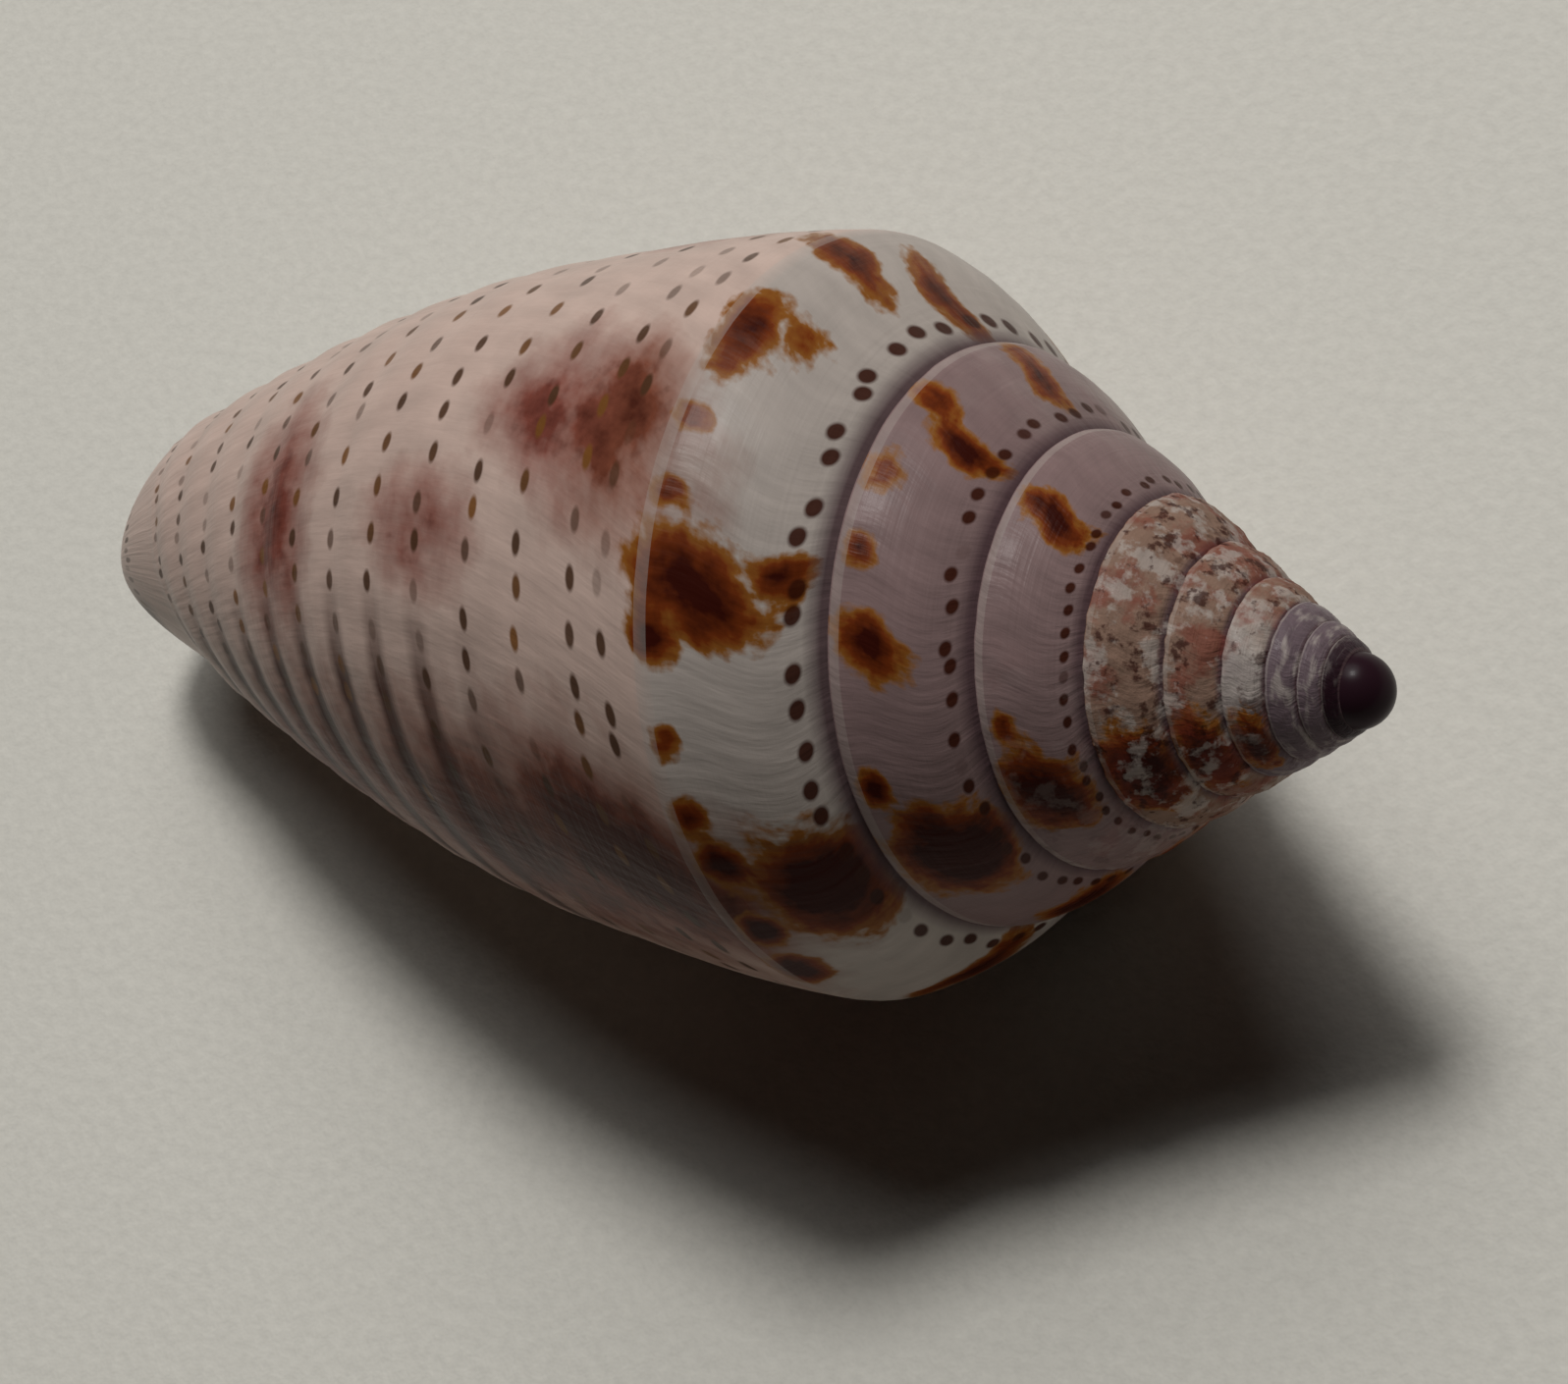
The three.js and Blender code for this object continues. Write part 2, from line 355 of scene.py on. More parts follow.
def open_groove(bm, layers, row, keel_along, suture, sizes):
    """Keeps the ramp and keel of the last row, and adds an edge from the keel's foot into the groove."""
    spire_row = [e for e in row if max(v[layers["along"]] for v in e.verts) <= keel_along + 1e-4]
    foot = max((v for e in spire_row for v in e.verts), key=lambda v: v[layers["along"]])
    groove = bm.verts.new(suture.co)
    groove[layers["turn"]] = foot[layers["turn"]]
    groove[layers["along"]] = foot[layers["along"]] + (groove.co - foot.co).length * sizes.growth
    groove[layers["fall"]] = suture[layers["fall"]]
    return spire_row + [bm.edges.new((foot, groove))]


def wind_outside(sizes):
    """The whole outside of the shell, filled in to the axis: the body whorl from keel to columella, the
    spire's ramps, the flat lip and the blunt top."""
    bm = bmesh.new()
    layers = start_coil(bm)
    stretches = lip_outline(sizes)
    verts, edges = add_outline(bm, [point for points in stretches.values() for point in points])
    mark_outline(sizes, layers, stretches, verts)
    row = wind(bm, layers, edges, sizes.steps, sizes)
    keel = len(stretches["ramp"]) + len(stretches["keel"])
    spire_row = open_groove(bm, layers, row, verts[keel][layers["along"]], verts[0], sizes)
    body = set(bm.faces)
    wind(bm, layers, spire_row, sizes.steps, sizes)
    repeat_whorl(bm, layers, [face for face in bm.faces if face not in body], sizes)
    map_growth(bm, layers)
    stretch_columella(sizes, bm, layers)
    set_back(sizes, bm, layers)
    swell_tip(sizes, bm)
    bmesh.ops.remove_doubles(bm, verts=bm.verts, dist=1e-4)
    close_ends(bm)
    bmesh.ops.recalc_face_normals(bm, faces=bm.faces)
    raise_relief(sizes, bm, layers)
    return bm


def repeat_whorl(bm, layers, faces, sizes):
    """Copies one whorl of the spire, one size smaller for each turn further back."""
    whorl = faces + list({e for f in faces for e in f.edges}) + list({v for f in faces for v in f.verts})
    smaller = Matrix.Scale(1 / sizes.growth, 4)
    for _ in range(sizes.whorls - 2):
        whorl = bmesh.ops.duplicate(bm, geom=whorl)["geom"]
        verts = [item for item in whorl if isinstance(item, bmesh.types.BMVert)]
        bmesh.ops.transform(bm, matrix=smaller, verts=verts)
        for vert in verts:
            vert[layers["turn"]] -= 1


def map_growth(bm, layers):
    """The UV map of turns and places along the outline."""
    uv = bm.loops.layers.uv.new(GROWTH_MAP)
    for face in bm.faces:
        for loop in face.loops:
            loop[uv].uv = (loop.vert[layers["turn"]], loop.vert[layers["along"]])


def stretch_columella(sizes, bm, layers):
    """Keeps the end of the columella in one place through the last turn, so that the front closes on it."""
    tip = sizes.tip_depth / MM
    for vert in bm.verts:
        if vert[layers["pull"]] > 0:
            vert.co.z -= vert[layers["pull"]] * tip * (1 - sizes.growth ** vert[layers["turn"]])


def set_back(sizes, bm, layers):
    """Moves each vertex back along the coil to its growth line."""
    for vert in bm.verts:
        vert.co = coil_step(sizes, vert[layers["fall"]] * sizes.steps) @ vert.co


def swell_tip(sizes, bm):
    """Widens the earliest whorls, which makes the top of the spire blunt."""
    reach = sizes.swell_reach / MM
    for vert in bm.verts:
        vert.co.xy *= 1 + sizes.early_swell * math.exp(vert.co.z / reach)


def close_ends(bm):
    """Closes the lip with faces, and the first turn with a cone that the nucleus covers."""
    open_edges = [e for e in bm.edges if e.is_boundary]
    above_the_lip = -4
    lip = [e for e in open_edges if min(v.co.z for v in e.verts) < above_the_lip]
    top = list(set(open_edges) - set(lip))
    filled = bmesh.ops.triangle_fill(bm, use_beauty=True, edges=lip, normal=(0, 1, 0))["geom"]
    for face in (item for item in filled if isinstance(item, bmesh.types.BMFace)):
        face.material_index = INSIDE
    made = bmesh.ops.extrude_edge_only(bm, edges=top)["geom"]
    verts = [item for item in made if isinstance(item, bmesh.types.BMVert)]
    apex = Vector((0, 0, sum(v.co.z for v in verts) / len(verts)))
    bmesh.ops.pointmerge(bm, verts=verts, merge_co=apex)


def clamp(value):
    """The value, kept from 0 to 1."""
    return max(0.0, min(1.0, value))


def relief(sizes, turn, along, place):
    """How far the surface stands out at a place, in millimetres at the lip's size: cords between the
    rows of dashes towards the front, growth wrinkles, and the dents of the worn old whorls."""
    first, spacing, cords, wrinkles, wear = millimetres(
        sizes, "first_row", "row_spacing", "cord_height", "wrinkle_height", "wear_depth"
    )
    cords_start, cords_full = 5.0, 10.0
    front_share = clamp((along - cords_start) / (cords_full - cords_start))
    wave = 0.5 - 0.5 * math.cos(math.tau * (along - first) / spacing)
    height = cords * front_share * wave**0.7
    height += wrinkles * noise.noise(Vector((turn * 34, along * 0.5, 0)))
    height += 0.6 * wrinkles * noise.noise(Vector((turn * 90, along * 0.8, 5)))
    wear_start, wear_full = 2.2, 3.4
    worn = clamp((-turn - wear_start) / (wear_full - wear_start))
    height += wear * worn * noise.fractal(place * 2.2, 0.7, 2.1, 3)
    return height


def raise_relief(sizes, bm, layers):
    """Moves the surface out or in along its normal, fading out beside the sutures and at the lip."""
    bm.normal_update()
    foot = 2.8  # where the groove below a spire whorl's keel ends, along the outline
    fade_in = 0.3
    lip_fade = 0.01
    dents = 0.6  # the dents grow a little less than the whorls do
    for vert in bm.verts:
        turn, along = vert[layers["turn"]], vert[layers["along"]]
        edge = along if turn > -1 else min(along, foot - along)
        fade = clamp(edge / fade_in) * clamp(-turn / lip_fade) * (vert[layers["pull"]] == 0)
        if fade > 0:
            size = sizes.growth**turn
            vert.co += vert.normal * fade * size * relief(sizes, turn, along, vert.co / size**dents)


def nucleus(sizes):
    """The round first whorl, a glassy bead that closes the top of the spire."""
    radius, depth = millimetres(sizes, "nucleus_radius", "nucleus_depth")
    bm = bmesh.new()
    place = Matrix.Translation((0, 0, -depth))
    uv = bm.loops.layers.uv.new(GROWTH_MAP)
    bmesh.ops.create_uvsphere(bm, u_segments=32, v_segments=20, radius=radius, matrix=place)
    for face in bm.faces:
        for loop in face.loops:
            loop[uv].uv = (-sizes.whorls, KEEL_ALONG / 2)
    return bm


def radius_at(outline, depth):
    """Radius of an outline at a depth."""
    for above, below in zip(outline, outline[1:]):
        if above[1] <= depth <= below[1]:
            share = (depth - above[1]) / max(1e-9, below[1] - above[1])
            return above[0] + (below[0] - above[0]) * share
    return outline[0][0] if depth < outline[0][1] else 0.0


def inner_radius(sizes, outline, depth):
    """Radius of what the hollow is wound round at a depth: the whorl before, or the columella."""
    front_radius, front_depth, tip = millimetres(sizes, "front_radius", "front_depth", "tip_depth")
    start = front_depth / sizes.growth
    if depth < start:
        return radius_at(outline, depth * sizes.growth) / sizes.growth
    return front_radius / sizes.growth * (1 - clamp((depth - start) / (tip - start)))


def hollow_top(sizes):
    """Depth of the hollow's top at the lip, just under the suture."""
    below_keel = 0.93
    return (sizes.shoulder_depth / MM + below_keel) / sizes.growth


def hollow_ring(sizes, outline):
    """The hollow's outline at the lip: down the inside of the wall and back up over the whorl before, each
    point with the radius half way between the two."""
    front_depth, wall, callus, core = millimetres(sizes, "front_depth", "wall", "callus", "core")
    top = hollow_top(sizes)
    bottom = 1.06 * front_depth  # past the front end, so that the canal is open
    least_half = 0.04
    steps = 24
    far, near = [], []
    for i in range(steps + 1):
        depth = top + (bottom - top) * i / steps
        outside = radius_at(outline, min(depth, front_depth)) - wall
        inside = max(inner_radius(sizes, outline, depth), core) + callus
        middle = (outside + inside) / 2
        half = max(least_half, (outside - inside) / 2)
        far.append((middle + half, depth, middle))
        near.insert(0, (middle - half, depth, middle))
    return far + near


def shape_hollow(sizes, bm, layers, middles):
    """Raises the hollow's front behind the canal, and narrows it to nothing at its inner end."""
    top = hollow_top(sizes)
    raised = 0.123  # share of its height that the hollow loses behind the canal
    for vert in bm.verts:
        turn = vert[layers["turn"]]
        size = sizes.growth**turn
        share = clamp(-turn / sizes.canal_turns)
        shrink = 1 - raised * share * share * (3 - 2 * share)
        vert.co.z = -(top + (-vert.co.z / size - top) * shrink) * size
        dwindle = math.sqrt(min(1.0, turn / sizes.hollow_turns + 1.01))
        narrow = vert[middles] + (1 - vert[middles]) * dwindle
        vert.co.xy *= narrow


def wind_hollow(sizes):
    """The hollow inside the last turn, as a closed body that the outside is cut by. It dwindles at its
    inner end. Close to the lip its front is open, which makes the canal."""
    bm = bmesh.new()
    layers = start_coil(bm)
    middles = bm.verts.layers.float.new("middle")
    outline = [point for points in lip_outline(sizes).values() for point in points]
    ring = hollow_ring(sizes, outline)
    verts, edges = add_outline(bm, [(radius, depth) for radius, depth, _ in ring], closed=True)
    ahead = round(0.05 * sizes.steps)  # rows in front of the lip, so that the cut passes through it
    for vert, (radius, _, middle) in zip(verts, ring):
        vert[middles] = middle / radius
        vert[layers["turn"]] = ahead / sizes.steps
    bmesh.ops.transform(bm, matrix=coil_step(sizes, -ahead), verts=verts)
    last = wind(bm, layers, edges, ahead + round(sizes.hollow_turns * sizes.steps), sizes)
    bmesh.ops.contextual_create(bm, geom=edges)
    bmesh.ops.contextual_create(bm, geom=last)
    shape_hollow(sizes, bm, layers, middles)
    bmesh.ops.triangulate(bm, faces=[face for face in bm.faces if len(face.verts) > 4])
    map_growth(bm, layers)
    bmesh.ops.recalc_face_normals(bm, faces=bm.faces)
    for face in bm.faces:
        face.material_index = INSIDE
    return bm


def lay_down(sizes):
    """The turn from the growth frame to the shell at rest, with its tip towards +X."""
    side_down = Matrix.Rotation(math.tau * sizes.resting_turn, 3, "Z")
    return Matrix.Rotation(math.pi / 2 - sizes.resting_tilt, 3, "Y") @ side_down


def new_object(name, bm, materials):
    """An object of its own from a bmesh, with its materials in slots."""
    mesh = bpy.data.meshes.new(name)
    bm.to_mesh(mesh)
    bm.free()
    for material in materials:
        mesh.materials.append(material)
    made = bpy.data.objects.new(name, mesh)
    bpy.context.scene.collection.objects.link(made)
    return made


def combine(piece, tool, operation):
    """Joins or cuts a closed piece with a closed tool, and removes the tool."""
    step = piece.modifiers.new(operation.title(), "BOOLEAN")
    step.operation = operation
    step.solver = "MANIFOLD"
    step.object = tool
    dependencies = bpy.context.evaluated_depsgraph_get()
    made = bpy.data.meshes.new_from_object(piece.evaluated_get(dependencies))
    piece.modifiers.clear()
    piece.data = made
    bpy.data.objects.remove(tool)


def put_in_place(sizes, mesh):
    """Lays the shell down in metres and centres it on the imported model, standing at the same height."""
    mesh.transform(lay_down(sizes).to_4x4() * MM)
    low = Vector([min(v.co[i] for v in mesh.vertices) for i in range(3)])
    high = Vector([max(v.co[i] for v in mesh.vertices) for i in range(3)])
    move = (CAD_BOX[0] + CAD_BOX[1]) / 2 - (low + high) / 2
    move.z = CAD_BOX[0].z - low.z
    mesh.transform(Matrix.Translation(move))


def spot_field(spots, turn, along):
    """How deep a place lies in the nearest of the spots: 1 or more in a middle, 0 at an edge, and
    negative outside."""
    field = -2.0
    for centre, place, half_turns, half_width, strength in spots:
        reach = math.hypot((turn - centre) / half_turns, (along - place) / half_width)
        field = max(field, strength * (1 - reach) if reach < 1 else 1 - reach)
    return field


def mark_spots(mesh, name, spots):
    """Keeps the field of some spots as an attribute of the mesh's corners."""
    near = 0.15  # turns past which a spot has no effect
    field = mesh.attributes.new(name, "FLOAT", "CORNER")
    places = mesh.uv_layers[GROWTH_MAP].uv
    known = {}
    for i, place in enumerate(places):
        turn, along = place.vector
        key = (round(turn, 4), round(along, 3))
        if key not in known:
            close = [s for s in spots if abs(s[0] - turn) < near]
            known[key] = spot_field(close, turn, along)
        field.data[i].value = known[key]


def rgba(tint):
    """A colour with full opacity, as a colour socket takes it."""
    return (*tint, 1.0)


def add(tree, kind, inputs, output=0, stops=(), **settings):
    """Adds a node with its settings, links or sets its inputs, and returns one of its outputs."""
    node = tree.nodes.new(kind)
    for name, value in settings.items():
        setattr(node, name, value)
    for key, value in inputs.items():
        if isinstance(value, bpy.types.NodeSocket):
            tree.links.new(value, node.inputs[key])
        else:
            node.inputs[key].default_value = value
    for i, (place, tint) in enumerate(stops):
        stop = node.color_ramp.elements[0] if i == 0 else node.color_ramp.elements.new(place)
        stop.position, stop.color = place, rgba(tint)
    if stops:
        node.color_ramp.elements.remove(node.color_ramp.elements[-1])
    return node.outputs[output]


def new_material(name):
    """A material that uses nodes, and its node tree."""
    material = bpy.data.materials.new(name)
    material.use_nodes = True
    return material, material.node_tree


def growth_places(tree):
    """Turn, place along the outline, and the point itself in millimetres."""
    grown = add(tree, "ShaderNodeUVMap", {}, uv_map=GROWTH_MAP)
    point = add(tree, "ShaderNodeTexCoord", {}, "Object")
    return (
        add(tree, SPLIT, {0: grown}, "X"),
        add(tree, SPLIT, {0: grown}, "Y"),
        add(tree, VECTOR, {0: point, "Scale": 1 / MM}, operation="SCALE"),
    )


def grain(tree, turn, along, lines, spread, seed):
    """Noise drawn out along the growth lines: so many lines in a turn, so many breaks in a millimetre."""
    across = add(tree, MATH, {0: turn, 1: lines}, operation="MULTIPLY")
    down = add(tree, MATH, {0: along, 1: spread}, operation="MULTIPLY")
    place = add(tree, JOIN, {0: across, 1: down, 2: seed})
    return add(tree, NOISE, {"Vector": place, "Scale": 1.0, "Detail": 3.0})


def ground(tree, colours, turn, along, point):
    """The ground colour: white ramp, cream side, violet spire, worn chalk, slate and glassy nucleus."""
    age = add(tree, RANGE, {0: turn, 1: 0.0, 2: -9.0})
    wander = add(tree, NOISE, {"Vector": point, "Scale": 0.9, "Detail": 3.0})
    aged = add(tree, MATH, {0: wander, 1: 0.05, 2: age}, operation="MULTIPLY_ADD")
    spire = add(tree, "ShaderNodeValToRGB", {0: aged}, stops=(
        (0.0, colours.ramp), (0.115, colours.ramp), (0.155, colours.violet), (0.31, colours.violet),
        (0.36, colours.chalk), (0.6, colours.chalk), (0.615, colours.ramp), (0.63, colours.slate),
        (0.86, colours.slate), (0.95, colours.nucleus),
    ))
    on_side = add(tree, RANGE, {0: along, 1: KEEL_ALONG - 0.15, 2: KEEL_ALONG + 0.15})
    newest = add(tree, RANGE, {0: age, 1: 0.13, 2: 0.11})
    side_share = add(tree, MATH, {0: on_side, 1: newest}, operation="MULTIPLY")
    return add(tree, MIX, {0: side_share, 6: spire, 7: rgba(colours.side)}, 2, data_type="RGBA"), age


def lattice(tree, turn, rows, columns, half_length, half_width, seed):
    """Dots on a lattice that wavers a little, as how far a place is from the nearest dot's middle in half
    sizes, and a random share for each dot."""
    across = add(tree, MATH, {0: turn, 1: columns}, operation="MULTIPLY")
    column = add(tree, MATH, {0: across}, operation="ROUND")
    row = add(tree, MATH, {0: rows}, operation="ROUND")
    cell = add(tree, JOIN, {0: column, 1: row, 2: seed})
    random = add(tree, "ShaderNodeTexWhiteNoise", {"Vector": cell}, "Color", noise_dimensions="3D")
    place = add(tree, JOIN, {0: across, 1: rows, 2: seed})
    offset = add(tree, VECTOR, {0: place, 1: cell}, operation="SUBTRACT")
    most = Vector((0.22, 0.07, 0.0))
    jitter = add(tree, VECTOR, {0: random, 1: 2 * most, 2: -most}, operation="MULTIPLY_ADD")
    wavered = add(tree, VECTOR, {0: offset, 1: jitter}, operation="SUBTRACT")
    sized = add(tree, VECTOR, {0: wavered, 1: (1 / half_length, 1 / half_width, 0.0)}, operation="MULTIPLY")
    reach = add(tree, VECTOR, {0: sized}, "Value", operation="LENGTH")
    return reach, add(tree, SPLIT, {0: random}, "Z")


def dashes(tree, sizes, colours, turn, along, tint):
    """Rows of small brown dashes round the side, some of them ochre. The first row is closer to the
    keel than the others are to each other."""
    first, spacing = millimetres(sizes, "first_row", "row_spacing")
    rows = add(tree, RANGE, {0: along, 1: first, 2: first + spacing}, clamp=False)
    by_keel = add(tree, MATH, {0: along, 1: 3.33}, operation="LESS_THAN")
    rows = add(tree, MATH, {0: by_keel, 1: -0.44, 2: rows}, operation="MULTIPLY_ADD")
    reach, random = lattice(tree, turn, rows, 47.0, 0.24, 0.075, 1.0)
    on_side = add(tree, MATH, {0: along, 1: 2.8}, operation="GREATER_THAN")
    newest = add(tree, MATH, {0: turn, 1: -1.1}, operation="GREATER_THAN")
    present = add(tree, MATH, {0: on_side, 1: newest}, operation="MULTIPLY")
    some = add(tree, RANGE, {0: random, 1: 0.7, 2: 0.95, 4: 0.6})
    dash_tint = add(tree, MIX, {0: some, 6: rgba(colours.dash), 7: rgba(colours.ochre)}, 2, data_type="RGBA")
    core = add(tree, RANGE, {0: reach, 1: 1.25, 2: 0.8})
    strength = add(tree, RANGE, {0: random, 1: 0.0, 2: 0.5, 3: 0.35, 4: 0.95})
    core = add(tree, MATH, {0: core, 1: strength}, operation="MULTIPLY")
    core = add(tree, MATH, {0: core, 1: present}, operation="MULTIPLY")
    return add(tree, MIX, {0: core, 6: tint, 7: dash_tint}, 2, data_type="RGBA")


def suture_dots(tree, colours, turn, along, tint):
    """A row of dark brown dots below each suture."""
    rows = add(tree, MATH, {0: along, 1: 0.52}, operation="SUBTRACT")
    reach, random = lattice(tree, turn, rows, 49.0, 0.27, 0.115, 7.0)
    close = add(tree, MATH, {0: along, 1: 0.9}, operation="LESS_THAN")
    young = add(tree, RANGE, {0: turn, 1: -3.6, 2: -2.7})
    core = add(tree, RANGE, {0: reach, 1: 1.15, 2: 0.75, 4: 0.96})
    core = add(tree, MATH, {0: core, 1: close}, operation="MULTIPLY")
    core = add(tree, MATH, {0: core, 1: young}, operation="MULTIPLY")
    there = add(tree, RANGE, {0: random, 1: 0.04, 2: 0.1, 3: 0.2})
    core = add(tree, MATH, {0: core, 1: there}, operation="MULTIPLY")
    return add(tree, MIX, {0: core, 6: tint, 7: rgba(colours.dot)}, 2, data_type="RGBA")


def ragged(tree, name, turn, along, waver, fine):
    """A field of spots with its edge made ragged by noise drawn out along the growth lines."""
    field = add(tree, "ShaderNodeAttribute", {}, "Fac", attribute_name=name)
    coarse = grain(tree, turn, along, 45.0, 1.6, 2.0)
    small = grain(tree, turn, along, 190.0, 5.0, 4.0)
    field = add(tree, MATH, {0: coarse, 1: waver, 2: field}, operation="MULTIPLY_ADD")
    field = add(tree, MATH, {0: small, 1: fine, 2: field}, operation="MULTIPLY_ADD")
    return add(tree, MATH, {0: field, 1: (waver + fine) / 2}, operation="SUBTRACT")


def stains(tree, colours, turn, along, tint):
    """Stains with an ochre edge, an orange body and a dark brown middle."""
    field = ragged(tree, "stains", turn, along, 1.1, 0.5)
    edge = add(tree, RANGE, {0: field, 1: -0.08, 2: 0.12})
    tint = add(tree, MIX, {0: edge, 6: tint, 7: rgba(colours.ochre)}, 2, data_type="RGBA")
    body = add(tree, RANGE, {0: field, 1: 0.08, 2: 0.34})
    tint = add(tree, MIX, {0: body, 6: tint, 7: rgba(colours.orange)}, 2, data_type="RGBA")
    middle = add(tree, RANGE, {0: field, 1: 0.3, 2: 0.75, 4: 0.97})
    return add(tree, MIX, {0: middle, 6: tint, 7: rgba(colours.brown)}, 2, data_type="RGBA")


def clouds(tree, colours, turn, along, point, tint):
    """Soft wine-red clouds on the side, more orange by the keel and below, and brown in their middles."""
    field = ragged(tree, "clouds", turn, along, 0.9, 0.25)
    veil = add(tree, RANGE, {0: field, 1: -0.35, 2: 0.55, 4: 0.92})
    by_keel = add(tree, RANGE, {0: along, 1: 4.4, 2: 3.2, 4: 0.85})
    below = add(tree, RANGE, {0: turn, 1: -0.43, 2: -0.48, 4: 0.8})
    warmth = add(tree, MATH, {0: by_keel, 1: below}, operation="MAXIMUM")
    warm = add(tree, MIX, {0: warmth, 6: rgba(colours.wine), 7: rgba(colours.orange)}, 2, data_type="RGBA")
    tint = add(tree, MIX, {0: veil, 6: tint, 7: warm}, 2, data_type="RGBA")
    flecks = add(tree, NOISE, {"Vector": point, "Scale": 5.0, "Detail": 2.0})
    flecked = add(tree, MATH, {0: flecks, 1: 0.9, 2: field}, operation="MULTIPLY_ADD")
    middle = add(tree, RANGE, {0: flecked, 1: 0.8, 2: 1.5, 4: 0.8})
    return add(tree, MIX, {0: middle, 6: tint, 7: rgba(colours.brown)}, 2, data_type="RGBA")


def stripes(tree, sizes, colours, turn, along, tint):
    """Where the lower side is stained, the rows of dashes run together into dark stripes."""
    first, spacing = millimetres(sizes, "first_row", "row_spacing")
    rows = add(tree, RANGE, {0: along, 1: first, 2: first + spacing}, clamp=False)
    off_row = add(tree, MATH, {0: rows, 1: 1.0}, operation="PINGPONG")
    wave = add(tree, MATH, {0: off_row, 1: 0.5}, operation="PINGPONG")
    waver = grain(tree, turn, along, 60.0, 1.2, 9.0)
    wave = add(tree, MATH, {0: waver, 1: 0.16, 2: wave}, operation="MULTIPLY_ADD")
    stripe = add(tree, RANGE, {0: wave, 1: 0.36, 2: 0.18, 4: 0.92})
    front = add(tree, RANGE, {0: along, 1: 5.0, 2: 7.0})
    flank = add(tree, RANGE, {0: turn, 1: -0.42, 2: -0.48})
    back = add(tree, RANGE, {0: turn, 1: -0.7, 2: -0.62})
    share = add(tree, MATH, {0: stripe, 1: front}, operation="MULTIPLY")
    share = add(tree, MATH, {0: share, 1: flank}, operation="MULTIPLY")
    share = add(tree, MATH, {0: share, 1: back}, operation="MULTIPLY")
    return add(tree, MIX, {0: share, 6: tint, 7: rgba(colours.dot)}, 2, data_type="RGBA")


def groove(tree, colours, along, tint):
    """Painted shade in the groove at each suture, in a mauve tint, and a painted highlight as a pale line
    along the keel above it.
    """
    # Painted shade: darkens the groove towards the suture, in the mauve suture colour.
    deep = add(tree, RANGE, {0: along, 1: 0.4, 2: 0.16, 4: 0.92})
    tint = add(tree, MIX, {0: deep, 6: tint, 7: rgba(colours.suture)}, 2, data_type="RGBA")
    # Painted highlight: a pale line along the keel's edge.
    keel_highlight_band = add(tree, MATH, {0: along, 1: KEEL_ALONG, 2: 0.09}, operation="COMPARE")
    pale = add(tree, MATH, {0: keel_highlight_band, 1: 0.3}, operation="MULTIPLY")
    return add(tree, MIX, {0: pale, 6: tint, 7: rgba(colours.ramp)}, 2, data_type="RGBA")


def chalk(tree, colours, age, turn, along, point, tint):
    """Worn old whorls: the glaze is gone in patches, so brown flecks and pale chalk lie side by side, and
    the small early whorls are streaked with white. The last and finest of the patches are also pits."""
    worn = add(tree, RANGE, {0: age, 1: 0.26, 2: 0.34})
    early = add(tree, RANGE, {0: age, 1: 0.64, 2: 0.58})
    share = add(tree, MATH, {0: worn, 1: early}, operation="MULTIPLY")
    layers = ((1.7, 0.5, 0.6, 0.6, colours.wine), (3.2, 0.52, 0.6, 0.65, colours.ramp),
              (5.0, 0.56, 0.64, 0.8, colours.brown))
    for scale, low, high, most, layer_tint in layers:
        patches = add(tree, NOISE, {"Vector": point, "Scale": scale, "Detail": 4.0, "Roughness": 0.6})
        patch = add(tree, RANGE, {0: patches, 1: low, 2: high, 4: most})
        patch = add(tree, MATH, {0: patch, 1: share}, operation="MULTIPLY")
        tint = add(tree, MIX, {0: patch, 6: tint, 7: rgba(layer_tint)}, 2, data_type="RGBA")
    streaks = grain(tree, turn, along, 14.0, 1.1, 8.0)
    streak = add(tree, RANGE, {0: streaks, 1: 0.52, 2: 0.66, 4: 0.6})
    slate = add(tree, RANGE, {0: age, 1: 0.6, 2: 0.64})
    glassy = add(tree, RANGE, {0: age, 1: 0.95, 2: 0.85})
    streak = add(tree, MATH, {0: streak, 1: slate}, operation="MULTIPLY")
    streak = add(tree, MATH, {0: streak, 1: glassy}, operation="MULTIPLY")
    return add(tree, MIX, {0: streak, 6: tint, 7: rgba(colours.ramp)}, 2, data_type="RGBA"), share, patches


def surface_height(tree, turn, along, pits, worn):
    """Fine growth lines and spiral threads, and the pits of the worn whorls."""
    lines = grain(tree, turn, along, 150.0, 0.9, 1.0)
    threads = grain(tree, turn, along, 9.0, 9.0, 3.0)
    fine = add(tree, MATH, {0: threads, 1: 0.5, 2: lines}, operation="MULTIPLY_ADD")
    pitted = add(tree, MATH, {0: pits, 1: worn}, operation="MULTIPLY")
    return add(tree, MATH, {0: pitted, 1: 1.6, 2: fine}, operation="MULTIPLY_ADD")


